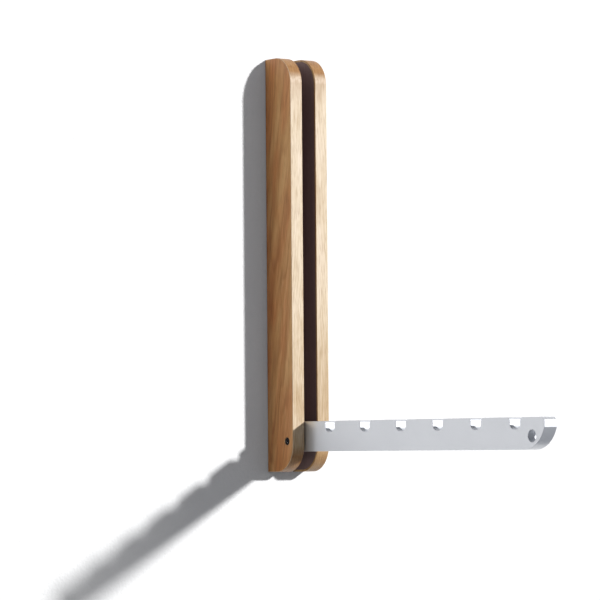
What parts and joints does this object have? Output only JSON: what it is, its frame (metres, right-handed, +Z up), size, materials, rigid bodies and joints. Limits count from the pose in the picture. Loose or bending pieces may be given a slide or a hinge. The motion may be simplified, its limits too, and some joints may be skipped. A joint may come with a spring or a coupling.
{
  "type": "fold-down wall hook",
  "caption": "Slim upright oak wall hook with a slot; a notched aluminium bar folds down from it square to the wall to carry clothes hangers, and folds up flush.",
  "frame": {"origin": "middle of the back face, on the wall plane, halfway up the body", "axes": "+Z up, +Y into the wall, -Y out of the wall along the folded-down arm, X across the body"},
  "size_m": [0.046, 0.433, 0.43],
  "materials": {
    "oak": "oiled solid oak, straight grain",
    "dark_aluminium": "extruded, dark bronze anodised, matte",
    "anodised_aluminium": "satin natural anodised",
    "plated_steel": "zinc plated",
    "black_steel": "black oxide",
    "bronze": "plain sintered bronze",
    "black_nylon": "matte"
  },
  "bodies": {
    "body": {"left_cheek": "oak", "right_cheek": "oak", "chassis": "dark_aluminium", "left_cheek_screws": "plated_steel", "right_cheek_screws": "plated_steel", "pivot_barrel": "black_steel", "pivot_screw": "black_steel", "left_thrust_washer": "bronze", "right_thrust_washer": "bronze", "stop_pin": "plated_steel", "stop_sleeve": "black_nylon"},
    "hanger_arm": {"arm": "anodised_aluminium", "pivot_bush": "bronze"}
  },
  "joints": [
    {"name": "arm_fold", "type": "hinge", "parent": "body", "child": "hanger_arm", "pos_m": [0, -0.0345, -0.1835], "axis": [-1, 0, 0], "range_deg": [0, 90]}
  ]
}
